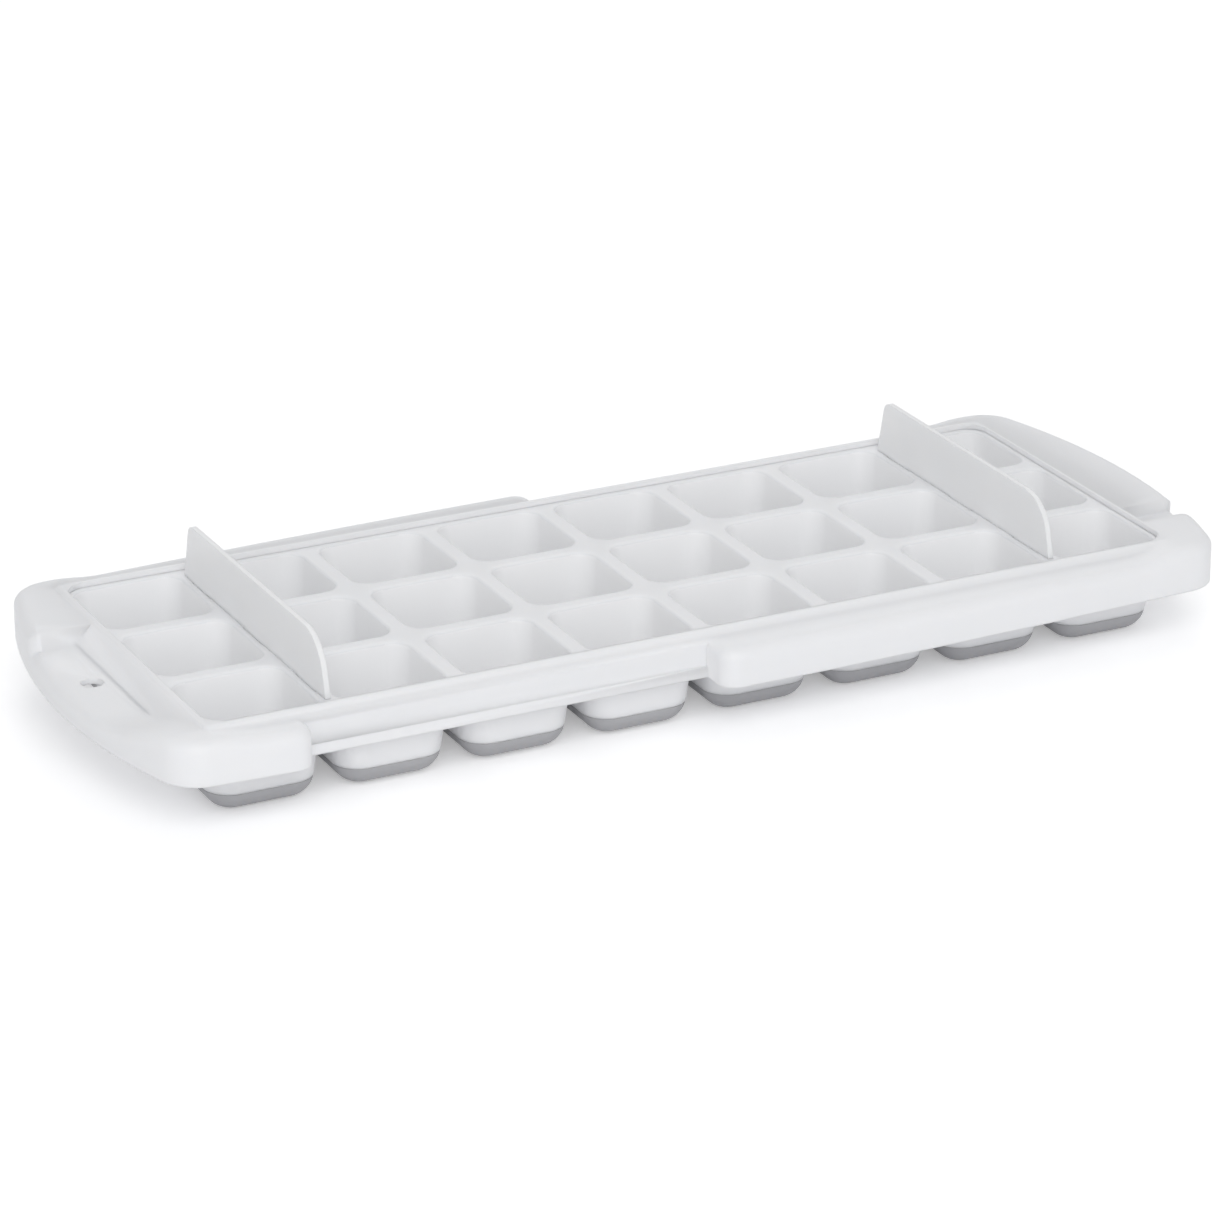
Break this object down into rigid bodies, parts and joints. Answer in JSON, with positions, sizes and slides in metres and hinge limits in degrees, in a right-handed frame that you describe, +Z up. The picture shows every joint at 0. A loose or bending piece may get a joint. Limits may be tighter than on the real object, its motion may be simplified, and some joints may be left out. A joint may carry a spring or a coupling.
{
  "type": "ice cube tray",
  "caption": "Stackable ice cube tray: stiff white pocket grid with rim and end handles, soft grey push-up bases under the pockets, upright stacking plates.",
  "frame": {"origin": "centre of the tray's plan, on the surface that the grey bases stand on", "axes": "+X along the tray, +Y across it away from the front with the low left handle's side, +Z up"},
  "size_m": [0.3188, 0.1274, 0.0412],
  "materials": {
    "white_plastic": "satin",
    "soft_grey": "matte"
  },
  "bodies": {
    "tray": {"tray_frame": "white_plastic", "pocket_column_1": "white_plastic", "pocket_column_2": "white_plastic", "pocket_column_3": "white_plastic", "pocket_column_4": "white_plastic", "pocket_column_5": "white_plastic", "pocket_column_6": "white_plastic", "pocket_column_7": "white_plastic", "pocket_column_8": "white_plastic", "soft_base_rings": "soft_grey"},
    "left_plate": {"stacking_plate_left": "white_plastic"},
    "right_plate": {"stacking_plate_right": "white_plastic"},
    "pad_row1_column1": {"push_pad_row1_column1": "soft_grey"},
    "pad_row1_column2": {"push_pad_row1_column2": "soft_grey"},
    "pad_row1_column3": {"push_pad_row1_column3": "soft_grey"},
    "pad_row1_column4": {"push_pad_row1_column4": "soft_grey"},
    "pad_row1_column5": {"push_pad_row1_column5": "soft_grey"},
    "pad_row1_column6": {"push_pad_row1_column6": "soft_grey"},
    "pad_row1_column7": {"push_pad_row1_column7": "soft_grey"},
    "pad_row1_column8": {"push_pad_row1_column8": "soft_grey"},
    "pad_row2_column1": {"push_pad_row2_column1": "soft_grey"},
    "pad_row2_column2": {"push_pad_row2_column2": "soft_grey"},
    "pad_row2_column3": {"push_pad_row2_column3": "soft_grey"},
    "pad_row2_column4": {"push_pad_row2_column4": "soft_grey"},
    "pad_row2_column5": {"push_pad_row2_column5": "soft_grey"},
    "pad_row2_column6": {"push_pad_row2_column6": "soft_grey"},
    "pad_row2_column7": {"push_pad_row2_column7": "soft_grey"},
    "pad_row2_column8": {"push_pad_row2_column8": "soft_grey"},
    "pad_row3_column1": {"push_pad_row3_column1": "soft_grey"},
    "pad_row3_column2": {"push_pad_row3_column2": "soft_grey"},
    "pad_row3_column3": {"push_pad_row3_column3": "soft_grey"},
    "pad_row3_column4": {"push_pad_row3_column4": "soft_grey"},
    "pad_row3_column5": {"push_pad_row3_column5": "soft_grey"},
    "pad_row3_column6": {"push_pad_row3_column6": "soft_grey"},
    "pad_row3_column7": {"push_pad_row3_column7": "soft_grey"},
    "pad_row3_column8": {"push_pad_row3_column8": "soft_grey"}
  },
  "joints": [
    {"name": "push_pad_row1_column1", "type": "slide", "parent": "tray", "child": "pad_row1_column1", "axis": [0, 0, 1], "range_m": [0, 0.008], "stiffness_N_per_m": 900},
    {"name": "push_pad_row1_column2", "type": "slide", "parent": "tray", "child": "pad_row1_column2", "axis": [0, 0, 1], "range_m": [0, 0.008], "stiffness_N_per_m": 900},
    {"name": "push_pad_row1_column3", "type": "slide", "parent": "tray", "child": "pad_row1_column3", "axis": [0, 0, 1], "range_m": [0, 0.008], "stiffness_N_per_m": 900},
    {"name": "push_pad_row1_column4", "type": "slide", "parent": "tray", "child": "pad_row1_column4", "axis": [0, 0, 1], "range_m": [0, 0.008], "stiffness_N_per_m": 900},
    {"name": "push_pad_row1_column5", "type": "slide", "parent": "tray", "child": "pad_row1_column5", "axis": [0, 0, 1], "range_m": [0, 0.008], "stiffness_N_per_m": 900},
    {"name": "push_pad_row1_column6", "type": "slide", "parent": "tray", "child": "pad_row1_column6", "axis": [0, 0, 1], "range_m": [0, 0.008], "stiffness_N_per_m": 900},
    {"name": "push_pad_row1_column7", "type": "slide", "parent": "tray", "child": "pad_row1_column7", "axis": [0, 0, 1], "range_m": [0, 0.008], "stiffness_N_per_m": 900},
    {"name": "push_pad_row1_column8", "type": "slide", "parent": "tray", "child": "pad_row1_column8", "axis": [0, 0, 1], "range_m": [0, 0.008], "stiffness_N_per_m": 900},
    {"name": "push_pad_row2_column1", "type": "slide", "parent": "tray", "child": "pad_row2_column1", "axis": [0, 0, 1], "range_m": [0, 0.008], "stiffness_N_per_m": 900},
    {"name": "push_pad_row2_column2", "type": "slide", "parent": "tray", "child": "pad_row2_column2", "axis": [0, 0, 1], "range_m": [0, 0.008], "stiffness_N_per_m": 900},
    {"name": "push_pad_row2_column3", "type": "slide", "parent": "tray", "child": "pad_row2_column3", "axis": [0, 0, 1], "range_m": [0, 0.008], "stiffness_N_per_m": 900},
    {"name": "push_pad_row2_column4", "type": "slide", "parent": "tray", "child": "pad_row2_column4", "axis": [0, 0, 1], "range_m": [0, 0.008], "stiffness_N_per_m": 900},
    {"name": "push_pad_row2_column5", "type": "slide", "parent": "tray", "child": "pad_row2_column5", "axis": [0, 0, 1], "range_m": [0, 0.008], "stiffness_N_per_m": 900},
    {"name": "push_pad_row2_column6", "type": "slide", "parent": "tray", "child": "pad_row2_column6", "axis": [0, 0, 1], "range_m": [0, 0.008], "stiffness_N_per_m": 900},
    {"name": "push_pad_row2_column7", "type": "slide", "parent": "tray", "child": "pad_row2_column7", "axis": [0, 0, 1], "range_m": [0, 0.008], "stiffness_N_per_m": 900},
    {"name": "push_pad_row2_column8", "type": "slide", "parent": "tray", "child": "pad_row2_column8", "axis": [0, 0, 1], "range_m": [0, 0.008], "stiffness_N_per_m": 900},
    {"name": "push_pad_row3_column1", "type": "slide", "parent": "tray", "child": "pad_row3_column1", "axis": [0, 0, 1], "range_m": [0, 0.008], "stiffness_N_per_m": 900},
    {"name": "push_pad_row3_column2", "type": "slide", "parent": "tray", "child": "pad_row3_column2", "axis": [0, 0, 1], "range_m": [0, 0.008], "stiffness_N_per_m": 900},
    {"name": "push_pad_row3_column3", "type": "slide", "parent": "tray", "child": "pad_row3_column3", "axis": [0, 0, 1], "range_m": [0, 0.008], "stiffness_N_per_m": 900},
    {"name": "push_pad_row3_column4", "type": "slide", "parent": "tray", "child": "pad_row3_column4", "axis": [0, 0, 1], "range_m": [0, 0.008], "stiffness_N_per_m": 900},
    {"name": "push_pad_row3_column5", "type": "slide", "parent": "tray", "child": "pad_row3_column5", "axis": [0, 0, 1], "range_m": [0, 0.008], "stiffness_N_per_m": 900},
    {"name": "push_pad_row3_column6", "type": "slide", "parent": "tray", "child": "pad_row3_column6", "axis": [0, 0, 1], "range_m": [0, 0.008], "stiffness_N_per_m": 900},
    {"name": "push_pad_row3_column7", "type": "slide", "parent": "tray", "child": "pad_row3_column7", "axis": [0, 0, 1], "range_m": [0, 0.008], "stiffness_N_per_m": 900},
    {"name": "push_pad_row3_column8", "type": "slide", "parent": "tray", "child": "pad_row3_column8", "axis": [0, 0, 1], "range_m": [0, 0.008], "stiffness_N_per_m": 900},
    {"name": "lift_left_plate", "type": "slide", "parent": "tray", "child": "left_plate", "axis": [0, 0, 1], "range_m": [0, 0.03]},
    {"name": "lift_right_plate", "type": "slide", "parent": "tray", "child": "right_plate", "axis": [0, 0, 1], "range_m": [0, 0.03]}
  ]
}
